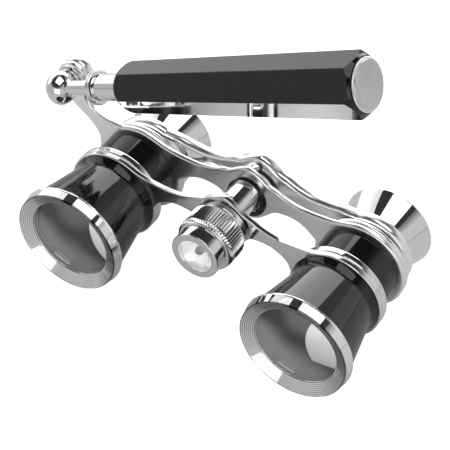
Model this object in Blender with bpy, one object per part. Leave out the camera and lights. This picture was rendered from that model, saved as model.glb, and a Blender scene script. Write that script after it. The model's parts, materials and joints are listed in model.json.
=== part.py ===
"""Opera glasses with a folding, telescoping handle and a reading lamp in the focusing knob.

Two barrels are clamped by two fixed bridges. A third bridge carries the eyepieces and slides on
a screw that the central knob turns. All sizes below are in millimetres in the glasses' own frame:
x across (the handle's side is -x), y from the objective rims towards the eyecups, z up, with zero
midway between the barrel axes, on the rims' front faces and at the height of the barrel axes.
The world's origin is the middle of the ground that the object covers.
"""

import math

import bmesh
import bpy
from mathutils import Matrix, Vector

MM = 0.001
GAP = 0.3  # between pieces that touch

# Barrels
HALF_SPACING = 35.5
RIM_RADIUS = 15.6
BAND_RADIUS = 16.3
BAND_REAR = 3.6
OPENING_RADIUS = 12.0
OBJECTIVE_RADIUS = 12.6
CONE_FRONT_RADIUS = 15.45
CONE_REAR_RADIUS = 12.1
CONE_REAR = 21.2
LIP_RADIUS = 13.1
BARREL_RADIUS = 12.1
SPIGOT_RADIUS = 11.0
WALL = 1.0

# Bridges: front and rear face of each. The fixed ones are thin plates with raised collars behind.
FRONT_BRIDGE = (23.0, 26.9)
REAR_BRIDGE = (36.34, 40.9)
PLATE = 1.7
REAR_COLLAR_END = 39.4
HUB_COLLAR_RADIUS = 6.6
SCREW_PAD_RADIUS = 2.0
SCREW_PAD_HEIGHT = 15.6
EYE_BRIDGE = (41.6, 45.3)
RING_RADIUS = 13.8
EYE_RING_RADIUS = 12.5
BRIDGE_EDGE = 0.65

# Eyepieces
DRAW_TUBE_RADIUS = 9.6
DRAW_TUBE_FRONT = 29.0
CUP_FRONT_RADIUS = 10.6
CUP_REAR_RADIUS = 13.1
CUP_REAR = 54.6
EYE_LENS_RADIUS = 7.7

# Focusing screw and knob
KNOB_HEIGHT = 6.8
KNOB_FRONT = 9.3
BEZEL_RADIUS = 7.2
KNURL_FRONT = 13.6
KNURL_REAR = 21.2
KNURL_RADIUS = 8.7
KNURL_DEPTH = 0.35
KNURL_RIBS = 44
TUBE_RADIUS = 4.6
TUBE_BORE = 3.9
NUT_RADIUS = 3.6
NUT_FRONT = 31.0
SCREW_RADIUS = 2.3
SCREW_REAR = 42.5
CELL_RADIUS = 3.4
CELL_THICKNESS = 2.15
CELL_COUNT = 2

# Handle: distances along it are from its hinge
HINGE_X, HINGE_Y, HINGE_Z = -57.9, 31.1, 23.0
HANDLE_ANGLE = 25.4  # degrees above the horizontal
BOSS_RADIUS = 4.9
BALL_RADIUS = 4.85
BALL_HALF_LENGTH = 3.8
NECK_END = 13.3
PIN_RADIUS = 1.3
FLANGE_RADIUS = 4.9
HANDLE_TUBE_RADIUS = 3.78
HANDLE_TUBE_START = 15.3
HANDLE_TUBE_END = 76.0
GRIP_START = 24.5
GRIP_END = 101.7
GRIP_START_RADIUS = 7.06
GRIP_END_RADIUS = 8.69
GRIP_BORE = 5.2
END_RING_RADIUS = 6.9
CAP_RADIUS = 6.3

# The world's origin, in the glasses' own frame
FOOT = (-5.5, 27.3, -16.3)

STEPS = 30
SMALL_STEPS = 20


def clear_scene():
    for obj in list(bpy.data.objects):
        bpy.data.objects.remove(obj, do_unlink=True)


def material(name, colour, metallic, roughness, transmission=0.0):
    made = bpy.data.materials.new(name)
    made.use_nodes = True
    shader = made.node_tree.nodes["Principled BSDF"]
    shader.inputs["Base Color"].default_value = (*colour, 1.0)
    shader.inputs["Metallic"].default_value = metallic
    shader.inputs["Roughness"].default_value = roughness
    shader.inputs["Transmission Weight"].default_value = transmission
    return made


def empty(name, parent=None, location=(0, 0, 0), turn=None):
    """A frame that pieces hang on. turn is a 3x3 rotation."""
    made = bpy.data.objects.new(name, None)
    bpy.context.collection.objects.link(made)
    made.parent = parent
    place = Matrix.Translation(Vector(location) * MM)
    made.matrix_local = place @ turn.to_4x4() if turn else place
    return made


def piece(name, mesh, finish, parent, location=(0, 0, 0), smooth_angle=35):
    mesh.materials.clear()
    mesh.materials.append(finish)
    made = bpy.data.objects.new(name, mesh)
    bpy.context.collection.objects.link(made)
    made.parent = parent
    made.location = Vector(location) * MM
    mesh.shade_smooth()
    mesh.set_sharp_from_angle(angle=math.radians(smooth_angle))
    return made


def finished_mesh(name, work):
    bmesh.ops.remove_doubles(work, verts=work.verts, dist=1e-7)
    bmesh.ops.recalc_face_normals(work, faces=work.faces)
    mesh = bpy.data.meshes.new(name)
    work.to_mesh(mesh)
    work.free()
    return mesh


def turned(name, outline, steps=STEPS):
    """A solid turned about the y axis. outline is a closed run of (radius, y) points."""
    work = bmesh.new()
    verts = [work.verts.new((radius * MM, y * MM, 0)) for radius, y in outline]
    edges = [work.edges.new((a, b)) for a, b in zip(verts, verts[1:] + verts[:1])]
    bmesh.ops.spin(
        work, geom=verts + edges, cent=(0, 0, 0), axis=(0, 1, 0),
        angle=math.tau, steps=steps, use_merge=True,
    )
    bmesh.ops.dissolve_degenerate(work, dist=1e-7, edges=work.edges)
    return finished_mesh(name, work)


def lofted(name, sections):
    """A tube without ends closed onto itself through sections, each a ring of equal length."""
    work = bmesh.new()
    rings = [[work.verts.new(Vector(p) * MM) for p in ring] for ring in sections]
    for one, two in zip(rings, rings[1:] + rings[:1]):
        for i in range(len(one)):
            j = (i + 1) % len(one)
            work.faces.new((one[i], one[j], two[j], two[i]))
    return finished_mesh(name, work)


def slab(name, outline, front, rear):
    """A plate between two y values. outline is a closed run of (x, z) points."""
    work = bmesh.new()
    verts = [work.verts.new((x * MM, front * MM, z * MM)) for x, z in outline]
    face = work.faces.new(verts)
    grown = bmesh.ops.extrude_face_region(work, geom=[face])["geom"]
    moved = [v for v in grown if isinstance(v, bmesh.types.BMVert)]
    bmesh.ops.translate(work, verts=moved, vec=(0, (rear - front) * MM, 0))
    return finished_mesh(name, work)


def cut(obj, cutter, name):
    cutter.hide_render = True
    cutter.display_type = "WIRE"
    boolean = obj.modifiers.new(name, "BOOLEAN")
    boolean.operation = "DIFFERENCE"
    boolean.solver = "EXACT"
    boolean.object = cutter


def round_edges(obj, width, segments=1):
    bevel = obj.modifiers.new("edges", "BEVEL")
    bevel.width = width * MM
    bevel.segments = segments
    bevel.limit_method = "ANGLE"
    bevel.angle_limit = math.radians(50)


def rod(name, radius, front, rear, parent, location, steps=STEPS):
    """A plain cylinder about the y axis, used as a cutter."""
    outline = [(0, front), (radius, front), (radius, rear), (0, rear)]
    made = bpy.data.objects.new(name, turned(name, outline, steps))
    bpy.context.collection.objects.link(made)
    made.parent = parent
    made.location = Vector(location) * MM
    return made


def smooth_run(points, steps=2):
    """A Catmull-Rom curve through points, without the last of them."""
    ends = [Vector(p) for p in points]
    ends = [2 * ends[0] - ends[1]] + ends + [2 * ends[-1] - ends[-2]]
    run = []
    for a, b, c, d in zip(ends, ends[1:], ends[2:], ends[3:]):
        for i in range(steps):
            t = i / steps
            run.append(0.5 * (2 * b + (c - a) * t + (2 * a - 5 * b + 4 * c - d) * t**2
                              + (3 * b - a - 3 * c + d) * t**3))
    return [tuple(p) for p in run]


def arc(centre, radius, start, end, steps):
    angles = [math.radians(start + (end - start) * i / steps) for i in range(steps)]
    return [(centre[0] + radius * math.cos(a), centre[1] + radius * math.sin(a)) for a in angles]


def mirrored(points):
    """The points, then their mirror images in the middle plane, from last to first."""
    return points + [(-x, z) for x, z in reversed(points) if x]


def bridge_outline(ring, waist_top, waist_bottom, horn=None):
    """The outline of a bridge, anticlockwise from the left ring. horn replaces a stretch of the
    left ring by a run of points, as (first angle, points, last angle)."""
    right, left = (HALF_SPACING, 0), (-HALF_SPACING, 0)
    leave, meet = 173, 112  # where the edges of the bar leave and meet the rings
    top = [(26.4, waist_top + 0.7), (21.6, waist_top + 0.1), (16.6, waist_top),
           (12.2, waist_top + 0.9), (9.0, waist_top + 2.2), (6.2, 14.1), (3.0, 16.3), (0, 17.3)]
    bottom = [(20.6, waist_bottom - 3.1), (18.6, waist_bottom - 1.5), (15.6, waist_bottom - 0.2),
              (12.2, waist_bottom), (8.8, waist_bottom - 0.8), (6.2, 2.6), (3.4, 0.2), (0, -0.7)]

    def on_ring(centre, angle):
        return arc(centre, ring, angle, angle + 1, 1)[0]

    lower_run = [on_ring(left, 180 - leave)] + [(-x, z) for x, z in bottom]
    lower_run += [p for p in reversed(bottom) if p[0]] + [on_ring(right, leave)]
    upper_run = [on_ring(right, meet)] + mirrored(top) + [on_ring(left, 180 - meet)]
    outline = smooth_run(lower_run) + arc(right, ring, leave, 360 + meet, 22)
    outline += smooth_run(upper_run)
    if horn is None:
        return outline + arc(left, ring, 180 - meet, 540 - leave, 22)
    first, points, last = horn
    outline += arc(left, ring, 180 - meet, first, 5)
    outline += smooth_run([on_ring(left, first)] + points + [on_ring(left, last)])
    return outline + arc(left, ring, last, 540 - leave, 14)


def bridge(name, faces, outline, bore, hub_bore, finish, parent):
    made = piece(name, slab(name, outline, *faces), finish, parent)
    round_edges(made, BRIDGE_EDGE)
    span = (faces[0] - 1, faces[1] + 1)
    for side, x in (("left", -HALF_SPACING), ("right", HALF_SPACING)):
        cut(made, rod(f"{name}_bore_{side}", bore, *span, parent, (x, 0, 0)), f"bore_{side}")
    cut(made, rod(f"{name}_hub", hub_bore, *span, parent, (0, 0, KNOB_HEIGHT), SMALL_STEPS), "hub")
    return made


def recess(bridge_piece, name, front, rear, kept, parent):
    """Thins a bridge from behind, all but the discs in kept, each an (x, z, radius)."""
    sheet = [(-75, -25), (75, -25), (75, 40), (-75, 40)]
    block = bpy.data.objects.new(name, slab(name, sheet, front, rear + 1))
    bpy.context.collection.objects.link(block)
    block.parent = parent
    for i, (x, z, radius) in enumerate(kept):
        disc = rod(f"{name}_kept_{i}", radius, front - 1, rear + 2, parent, (x, 0, z), 40)
        cut(block, disc, f"kept_{i}")
    cut(bridge_piece, block, name)


def hub_screw(name, bridge_piece, middle, finish, parent):
    """A slotted grub screw let into the top of a bridge's hub, above the centre tube."""
    top, depth, radius = 17.1, 3.2, 1.0
    upright = empty(f"{name}_axis", parent, (0, middle, top), Matrix.Rotation(math.pi / 2, 3, "X"))
    hole = rod(f"{name}_hole", radius + GAP, -1.0, depth + GAP, upright, (0, 0, 0), 16)
    hole.rotation_euler = (math.pi, 0, 0)
    cut(bridge_piece, hole, name)
    body = [(0, 0.1), (radius, 0.1), (radius, depth), (0, depth)]
    screw = piece(name, turned(name, body, 16), finish, upright)
    screw.rotation_euler = (math.pi, 0, 0)
    work = bmesh.new()
    bmesh.ops.create_cube(work, size=1.0)
    bmesh.ops.scale(work, verts=work.verts, vec=(0.35 * MM, 1.2 * MM, 3 * radius * MM))
    slot = bpy.data.objects.new(f"{name}_slot", finished_mesh(f"{name}_slot", work))
    bpy.context.collection.objects.link(slot)
    slot.parent = upright
    cut(screw, slot, "slot")


def lens_outline(radius, front_edge, rear_edge, front_bulge, rear_bulge, rings=4):
    """A lens's closed outline: each bulge is how far its face's middle stands beyond its edge."""
    front = [(radius * i / rings, front_edge - front_bulge * (1 - (i / rings) ** 2))
             for i in range(rings + 1)]
    rear = [(radius * i / rings, rear_edge + rear_bulge * (1 - (i / rings) ** 2))
            for i in range(rings, -1, -1)]
    return front + rear


def barrel_pieces(side, x, finishes, body):
    """One telescope's fixed pieces: rim, lens, retainer and the two lengths of barrel."""
    seat, spigot, lens_front = OBJECTIVE_RADIUS + GAP, 13.6, 2.9
    rim = [
        (OPENING_RADIUS + 0.3, 0), (RIM_RADIUS, 0), (RIM_RADIUS + 0.15, 0.4),
        (BAND_RADIUS, BAND_REAR), (spigot, BAND_REAR), (spigot, 7.0), (seat, 7.0),
        (seat, lens_front - GAP), (OPENING_RADIUS, lens_front - GAP), (OPENING_RADIUS, 0.5),
    ]
    lens = lens_outline(OBJECTIVE_RADIUS, lens_front, lens_front + 1.6, 1.3, 0)
    retainer = [(11.6, 4.8), (OBJECTIVE_RADIUS, 4.8), (OBJECTIVE_RADIUS, 6.6), (11.6, 6.6)]
    rear_face = FRONT_BRIDGE[0] - GAP
    front_barrel = [
        (CONE_FRONT_RADIUS, BAND_REAR + GAP), (CONE_REAR_RADIUS, CONE_REAR),
        (LIP_RADIUS, CONE_REAR + 0.3), (LIP_RADIUS, rear_face), (SPIGOT_RADIUS, rear_face),
        (SPIGOT_RADIUS, FRONT_BRIDGE[1] + 3), (SPIGOT_RADIUS - WALL, FRONT_BRIDGE[1] + 3),
        (SPIGOT_RADIUS - WALL, CONE_REAR), (13.7, 7.6), (spigot + GAP, 7.3),
        (spigot + GAP, BAND_REAR + GAP),
    ]
    joint = FRONT_BRIDGE[1] + 3 + GAP
    rear_barrel = [
        (BARREL_RADIUS, FRONT_BRIDGE[1] + GAP), (BARREL_RADIUS, REAR_BRIDGE[0] - GAP),
        (SPIGOT_RADIUS, REAR_BRIDGE[0] - GAP), (SPIGOT_RADIUS, REAR_BRIDGE[1]),
        (SPIGOT_RADIUS - WALL, REAR_BRIDGE[1]), (SPIGOT_RADIUS - WALL, joint),
        (SPIGOT_RADIUS + GAP, joint), (SPIGOT_RADIUS + GAP, FRONT_BRIDGE[1] + GAP),
    ]
    made = (
        ("objective_rim", rim, "chrome"), ("objective_lens", lens, "glass"),
        ("objective_retainer", retainer, "black"), ("front_barrel", front_barrel, "enamel"),
        ("rear_barrel", rear_barrel, "enamel"),
    )
    for kind, outline, finish in made:
        name = f"{kind}_{side}"
        piece(name, turned(name, outline), finishes[finish], body, (x, 0, 0))


def eyepiece_pieces(side, x, finishes, body):
    """One telescope's sliding pieces: draw tube, eyecup, lens and retainer."""
    bore = DRAW_TUBE_RADIUS - 0.7
    tube = [
        (bore, DRAW_TUBE_FRONT), (DRAW_TUBE_RADIUS, DRAW_TUBE_FRONT),
        (DRAW_TUBE_RADIUS, EYE_BRIDGE[1]), (bore, EYE_BRIDGE[1]),
    ]
    seat, lens_rear = EYE_LENS_RADIUS + GAP, 49.2
    cup_front = EYE_BRIDGE[1] + GAP
    flare = [
        (CUP_FRONT_RADIUS + (CUP_REAR_RADIUS - CUP_FRONT_RADIUS) * t**1.25,
         cup_front + (CUP_REAR - 0.5 - cup_front) * t)
        for t in (0, 0.25, 0.5, 0.75, 1)
    ]
    cup = flare + [
        (CUP_REAR_RADIUS - 0.3, CUP_REAR), (CUP_REAR_RADIUS - 0.9, CUP_REAR),
        (8.6, 50.2), (7.2, 50.0), (7.2, lens_rear), (seat, lens_rear),
        (seat, cup_front - 3), (bore - GAP, cup_front - 3), (bore - GAP, cup_front),
    ]
    lens = lens_outline(EYE_LENS_RADIUS, lens_rear - 3.0, lens_rear - GAP, -0.7, -0.6, 3)
    retainer = [(6.9, 44.4), (EYE_LENS_RADIUS, 44.4), (EYE_LENS_RADIUS, 45.8), (6.9, 45.8)]
    made = (
        ("eyepiece_tube", tube, "chrome", SMALL_STEPS), ("eyecup", cup, "chrome", STEPS),
        ("eye_lens", lens, "glass", SMALL_STEPS),
        ("eye_lens_retainer", retainer, "black", SMALL_STEPS),
    )
    for kind, outline, finish, steps in made:
        name = f"{kind}_{side}"
        piece(name, turned(name, outline, steps), finishes[finish], body, (x, 0, 0))


def knurled_sleeve(name):
    """The knob's ribbed sleeve, open right through, with its rear end turned down a little."""
    count = 2 * KNURL_RIBS
    chamfer, bore, throat = 0.6, 4.1, 3.0
    front = KNURL_FRONT + GAP

    def ring(radius, y, depth=0.0):
        points = []
        for i in range(count):
            at = math.tau * i / count
            r = radius - depth * (i % 2)
            points.append((r * math.cos(at), y, r * math.sin(at)))
        return points

    inner = KNURL_RADIUS - KNURL_DEPTH - 0.1
    return lofted(name, [
        ring(bore, KNURL_REAR - 1.2), ring(throat, KNURL_REAR - 1.2), ring(throat, KNURL_REAR),
        ring(inner - 0.3, KNURL_REAR), ring(KNURL_RADIUS, KNURL_REAR - chamfer, KNURL_DEPTH),
        ring(KNURL_RADIUS, front + 2.0, KNURL_DEPTH), ring(KNURL_RADIUS - 0.4, front + 0.9, 0.25),
        ring(BEZEL_RADIUS + 0.4, front), ring(bore, front),
    ])


def knob_pieces(finishes, knob, bezel):
    piece("focus_knob", knurled_sleeve("focus_knob"), finishes["chrome"], knob, smooth_angle=20)
    head = KNURL_REAR - 1.2 + GAP
    screw = [
        (0, head), (3.0 - GAP, head), (3.0 - GAP, KNURL_REAR + GAP), (3.4, KNURL_REAR + GAP),
        (3.4, KNURL_REAR + 1.2), (SCREW_RADIUS, KNURL_REAR + 1.2), (SCREW_RADIUS, SCREW_REAR),
        (0, SCREW_REAR),
    ]
    piece("focus_screw", turned("focus_screw", screw, SMALL_STEPS), finishes["steel"], knob)
    lens_rear, bowl_rear = KNOB_FRONT + 1.6, KNURL_FRONT - 0.2
    mouth, lens_radius = 5.0, 5.6
    shell = [
        (mouth, KNOB_FRONT), (BEZEL_RADIUS - 0.2, KNOB_FRONT), (BEZEL_RADIUS, KNOB_FRONT + 0.2),
        (BEZEL_RADIUS, KNURL_FRONT), (lens_radius + GAP, KNURL_FRONT),
        (lens_radius + GAP, KNOB_FRONT + 0.6), (mouth, KNOB_FRONT + 0.6),
    ]
    lens = lens_outline(lens_radius, KNOB_FRONT + 0.9, lens_rear, 0, 0, 1)
    bowl = [
        (lens_radius, lens_rear + GAP), (lens_radius, bowl_rear), (1.8, bowl_rear),
        (1.8, bowl_rear - 0.6), (3.2, bowl_rear - 1.2), (4.6, lens_rear + GAP + 0.4),
        (5.0, lens_rear + GAP),
    ]
    led_rear = bowl_rear + 0.1
    led = [
        (0, lens_rear + 0.5), (0.7, lens_rear + 0.65), (1.2, lens_rear + 1.1),
        (1.3, bowl_rear - 0.4), (1.3, led_rear), (0, led_rear),
    ]
    piece("lamp_bezel", turned("lamp_bezel", shell), finishes["chrome"], bezel)
    piece("lamp_lens", turned("lamp_lens", lens, SMALL_STEPS), finishes["glass"], bezel)
    piece("lamp_reflector", turned("lamp_reflector", bowl, SMALL_STEPS), finishes["mirror"], bezel)
    piece("lamp_led", turned("lamp_led", led, 16), finishes["lamp"], bezel)
    front = KNURL_FRONT + 0.25
    for i in range(CELL_COUNT):
        rear = front + CELL_THICKNESS
        cell = [(0, front), (CELL_RADIUS, front), (CELL_RADIUS, rear), (0, rear)]
        name = f"battery_cell_{i + 1}"
        piece(name, turned(name, cell, 16), finishes["steel"], knob)
        front = rear + GAP
    contact = [(1.0, front), (CELL_RADIUS, front + 0.2), (CELL_RADIUS, front + 0.4),
               (1.0, front + 0.2)]
    piece("battery_contact", turned("battery_contact", contact, 16), finishes["steel"], knob)


def centre_pieces(finishes, body, eye_body):
    """The tube between the fixed bridges, its two collars, and the sliding bridge's nut."""
    shoulder = FRONT_BRIDGE[0] - GAP
    tube = [
        (TUBE_BORE, shoulder - 0.9), (TUBE_RADIUS, shoulder - 0.9),
        (TUBE_RADIUS, REAR_BRIDGE[1] - 0.3), (TUBE_BORE, REAR_BRIDGE[1] - 0.3),
    ]
    inner = TUBE_RADIUS + GAP
    boss = [
        (inner, shoulder - 0.9), (6.4, shoulder - 0.9), (7.5, shoulder - 0.3), (7.5, shoulder),
        (inner, shoulder),
    ]
    ring_front, ring_rear = REAR_BRIDGE[0] - 2.6, REAR_BRIDGE[0] - GAP
    ring = [(inner, ring_front), (6.0, ring_front), (6.0, ring_rear), (inner, ring_rear)]
    nut = [
        (0, EYE_BRIDGE[1]), (0, EYE_BRIDGE[1] - 1.4), (SCREW_RADIUS + GAP, EYE_BRIDGE[1] - 1.4),
        (SCREW_RADIUS + GAP, NUT_FRONT), (NUT_RADIUS, NUT_FRONT), (NUT_RADIUS, EYE_BRIDGE[1]),
    ]
    height = (0, 0, KNOB_HEIGHT)
    made = (
        ("centre_tube", tube, "chrome", body), ("knob_boss", boss, "chrome", body),
        ("tube_collar", ring, "chrome", body), ("focus_nut", nut, "steel", eye_body),
    )
    for name, outline, finish, parent in made:
        piece(name, turned(name, outline, SMALL_STEPS), finishes[finish], parent, height)


def hinge_pieces(finishes, body, hinge, handle):
    """The pin through the boss, its washers, and the ball and neck that the handle turns on."""
    ball_flat = 3.4
    washers = (("inner_washer", 3.6, 3.7, 4.2), ("outer_washer", 4.3, 4.5, 4.94))
    for name, radius, front, rear in washers:
        ring = [(PIN_RADIUS + GAP, front), (radius, front), (radius, rear),
                (PIN_RADIUS + GAP, rear)]
        piece(name, turned(name, ring, SMALL_STEPS), finishes["chrome"], hinge)
    head = REAR_BRIDGE[1] - HINGE_Y + GAP
    pin = [
        (0, -1.5), (PIN_RADIUS, -1.5), (PIN_RADIUS, head), (3.0, head), (3.0, head + 0.6),
        (2.2, head + 1.1), (0, head + 1.1),
    ]
    piece("hinge_pin", turned("hinge_pin", pin, SMALL_STEPS), finishes["steel"], hinge)
    tube_start = HANDLE_TUBE_START - GAP
    meet = 2.1
    ball = [(BALL_RADIUS * math.sin(a), -BALL_HALF_LENGTH * math.cos(a))
            for a in (math.pi * i / 14 for i in range(1, 14))]
    ball = [(0, -BALL_HALF_LENGTH)] + [p for p in ball if p[1] < 0 or p[0] > meet]
    plug = HANDLE_TUBE_RADIUS - 0.7 - GAP
    knuckle = ball + [
        (meet, 3.6), (meet + 0.1, NECK_END), (FLANGE_RADIUS, NECK_END),
        (FLANGE_RADIUS, NECK_END + 0.6), (FLANGE_RADIUS - 0.4, NECK_END + 0.85),
        (FLANGE_RADIUS, tube_start - 0.6),
        (FLANGE_RADIUS, tube_start), (plug, tube_start), (plug, tube_start + 6),
        (0, tube_start + 6),
    ]
    made = piece("handle_knuckle", turned("handle_knuckle", knuckle, SMALL_STEPS),
                 finishes["chrome"], handle)
    work = bmesh.new()
    bmesh.ops.create_cube(work, size=1.0)
    bmesh.ops.scale(work, verts=work.verts, vec=(12 * MM, 4 * MM, 12 * MM))
    block = bpy.data.objects.new("ball_flat", finished_mesh("ball_flat", work))
    bpy.context.collection.objects.link(block)
    block.parent = hinge
    block.location = (0, (ball_flat + 2) * MM, 0)
    cut(made, block, "flat")
    hole = rod("ball_hole", PIN_RADIUS + GAP, -1.8, 6, hinge, (0, 0, 0), 16)
    cut(made, hole, "hole")


def grip_radius(at):
    share = (at - GRIP_START) / (GRIP_END - GRIP_START)
    return GRIP_START_RADIUS + (GRIP_END_RADIUS - GRIP_START_RADIUS) * share


def grip_mesh(name):
    """The six-sided grip: rounded towards the hinge, chamfered at its free end, bored through."""
    count = 36

    def section(at, limit=math.inf):
        flat = grip_radius(at) * math.cos(math.pi / 6)
        points = []
        for i in range(count):
            angle = math.tau * i / count
            from_flat = (angle + math.pi / 6) % (math.pi / 3) - math.pi / 6
            r = min(flat / math.cos(from_flat), limit)
            points.append((r * math.sin(angle), at, r * math.cos(angle)))
        return points

    nose, collar = GRIP_START, 5.7
    profile = (
        (nose, collar - 0.2), (nose + 0.2, collar), (nose + 0.7, collar), (nose + 0.75, 6.1),
        (nose + 2.0, 6.6), (nose + 3.5, 6.95), (nose + 5.5, grip_radius(nose + 5.5)),
    )
    sections = [section(at, limit) for at, limit in profile]
    sections.append(section(GRIP_END - 2.2))
    sections.append(section(GRIP_END - 0.5, 7.5))
    sections.append(section(GRIP_END, END_RING_RADIUS + 0.2))
    sections += [section(GRIP_END, GRIP_BORE + 0.6), section(GRIP_END - 8.0, GRIP_BORE + 0.6)]
    sections += [section(GRIP_END - 8.0, GRIP_BORE), section(nose + 1.5, GRIP_BORE)]
    mouth = HANDLE_TUBE_RADIUS + GAP
    sections += [section(nose + 1.5, mouth), section(nose, mouth)]
    return lofted(name, sections)


def handle_pieces(finishes, handle, grip):
    bore = HANDLE_TUBE_RADIUS - 0.7
    stop_front = HANDLE_TUBE_END - 4
    tube = [
        (bore, HANDLE_TUBE_START), (HANDLE_TUBE_RADIUS, HANDLE_TUBE_START),
        (HANDLE_TUBE_RADIUS, HANDLE_TUBE_END), (bore, HANDLE_TUBE_END),
    ]
    stop = [
        (HANDLE_TUBE_RADIUS + GAP, stop_front), (GRIP_BORE - GAP, stop_front),
        (GRIP_BORE - GAP, HANDLE_TUBE_END), (HANDLE_TUBE_RADIUS + GAP, HANDLE_TUBE_END),
    ]
    bush_front, bush_rear = GRIP_START + 2.0, GRIP_START + 12.0
    bush = [
        (HANDLE_TUBE_RADIUS + GAP, bush_front), (GRIP_BORE - GAP, bush_front),
        (GRIP_BORE - GAP, bush_rear), (HANDLE_TUBE_RADIUS + GAP, bush_rear),
    ]
    ring_rear = GRIP_END + GAP + 0.5
    cap_seat = ring_rear + GAP
    cap_face = cap_seat + 0.35
    ring = [
        (5.6, GRIP_END + GAP), (END_RING_RADIUS, GRIP_END + GAP),
        (END_RING_RADIUS, ring_rear - 0.2), (END_RING_RADIUS - 0.2, ring_rear), (5.6, ring_rear),
    ]
    cap = [
        (0, cap_face), (CAP_RADIUS - 0.2, cap_face), (CAP_RADIUS, cap_face - 0.15),
        (CAP_RADIUS, cap_seat), (5.3, cap_seat), (5.3, GRIP_END - 7.5), (0, GRIP_END - 7.5),
    ]
    made = (
        ("handle_tube", tube, "chrome", handle), ("tube_stop", stop, "black", handle),
        ("grip_bush", bush, "black", grip), ("grip_end_ring", ring, "chrome", grip),
        ("grip_end_cap", list(reversed(cap)), "chrome", grip),
    )
    for name, outline, finish, parent in made:
        piece(name, turned(name, outline, SMALL_STEPS), finishes[finish], parent)
    piece("handle_grip", grip_mesh("handle_grip"), finishes["enamel"], grip)


def build():
    clear_scene()
    finishes = {
        "chrome": material("chrome", (0.86, 0.87, 0.88), 1.0, 0.06),
        "steel": material("steel", (0.55, 0.56, 0.57), 1.0, 0.3),
        "enamel": material("black_enamel", (0.008, 0.008, 0.009), 0.0, 0.12),
        "black": material("black_inner", (0.012, 0.012, 0.012), 0.0, 0.6),
        "glass": material("glass", (0.85, 0.88, 0.9), 0.0, 0.02, 0.9),
        "mirror": material("reflector", (0.9, 0.9, 0.9), 1.0, 0.04),
        "lamp": material("lamp_led", (0.95, 0.93, 0.8), 0.0, 0.2),
    }
    body = empty("glasses", None, [-value for value in FOOT])
    eye_body = empty("eyepieces", body)
    knob = empty("knob_axis", body, (0, 0, KNOB_HEIGHT))
    bezel = empty("bezel_axis", knob)
    hinge = empty("handle_hinge", body, (HINGE_X, HINGE_Y, HINGE_Z))
    lean = math.radians(HANDLE_ANGLE)
    along = Vector((math.cos(lean), 0, math.sin(lean)))
    upward = Vector((-math.sin(lean), 0, math.cos(lean)))
    turn = Matrix((along.cross(upward), along, upward)).transposed()
    handle = empty("handle_axis", hinge, (0, 0, 0), turn)
    grip = empty("grip_axis", handle)

    horn_points = [
        (-45.3, 12.5), (-48.9, 13.4), (-51.8, 15.0), (-53.3, 17.3), (-53.5, 20.0),
        (HINGE_X + BOSS_RADIUS * 0.98, HINGE_Z + 1.0),
        (HINGE_X + BOSS_RADIUS * 0.62, HINGE_Z + BOSS_RADIUS * 0.785),
        (HINGE_X, HINGE_Z + BOSS_RADIUS),
        (HINGE_X - BOSS_RADIUS * 0.7, HINGE_Z + BOSS_RADIUS * 0.71),
        (HINGE_X - BOSS_RADIUS, HINGE_Z),
        (-62.2, 19.3), (-60.0, 15.6), (-56.6, 12.5), (-53.2, 10.3), (-50.9, 8.0), (-49.4, 5.4),
    ]
    front = bridge(
        "front_bridge", FRONT_BRIDGE, bridge_outline(RING_RADIUS, 10.7, 7.2),
        SPIGOT_RADIUS + GAP, TUBE_RADIUS + GAP, finishes["chrome"], body,
    )
    rear = bridge(
        "rear_bridge", REAR_BRIDGE, bridge_outline(RING_RADIUS, 11.0, 5.9, (116, horn_points, 172)),
        SPIGOT_RADIUS + GAP, TUBE_RADIUS + GAP, finishes["chrome"], body,
    )
    collars = [(x, 0, RING_RADIUS + 0.05) for x in (-HALF_SPACING, HALF_SPACING)]
    pad = (0, SCREW_PAD_HEIGHT, SCREW_PAD_RADIUS)
    hub = (0, KNOB_HEIGHT, HUB_COLLAR_RADIUS)
    boss = (HINGE_X, HINGE_Z, BOSS_RADIUS + 0.5)
    recess(front, "front_recess", FRONT_BRIDGE[0] + PLATE, FRONT_BRIDGE[1], collars + [pad], body)
    recess(rear, "rear_recess", REAR_BRIDGE[0] + PLATE, REAR_BRIDGE[1],
           collars + [pad, hub, boss], body)
    recess(rear, "collar_recess", REAR_COLLAR_END, REAR_BRIDGE[1], [pad, hub, boss], body)
    pin_hole = rod("pin_hole", PIN_RADIUS + GAP, REAR_BRIDGE[0] - HINGE_Y - 1,
                   REAR_BRIDGE[1] - HINGE_Y + 1, hinge, (0, 0, 0), 16)
    cut(rear, pin_hole, "pin_hole")
    bridge(
        "eyepiece_bridge", EYE_BRIDGE, bridge_outline(EYE_RING_RADIUS, 10.9, 5.9),
        DRAW_TUBE_RADIUS + GAP, NUT_RADIUS + GAP, finishes["chrome"], eye_body,
    )
    hub_screw("front_hub_screw", front, sum(FRONT_BRIDGE) / 2, finishes["steel"], body)
    hub_screw("rear_hub_screw", rear, sum(REAR_BRIDGE) / 2, finishes["steel"], body)
    for side, x in (("left", -HALF_SPACING), ("right", HALF_SPACING)):
        barrel_pieces(side, x, finishes, body)
        eyepiece_pieces(side, x, finishes, eye_body)
    centre_pieces(finishes, body, eye_body)
    knob_pieces(finishes, knob, bezel)
    hinge_pieces(finishes, body, hinge, handle)
    handle_pieces(finishes, handle, grip)


build()
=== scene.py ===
"""The looks of a pair of opera glasses: polished chrome, black gloss enamel and glass, on a pale floor.

Pieces are shaped in millimetres in the glasses' own frame: x across, y from the objective rims to
the eyecups, z up, zero midway between the barrel axes on the rims' front faces.
"""

import json
import math

import bmesh
import bpy
from mathutils import Matrix, Vector


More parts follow.
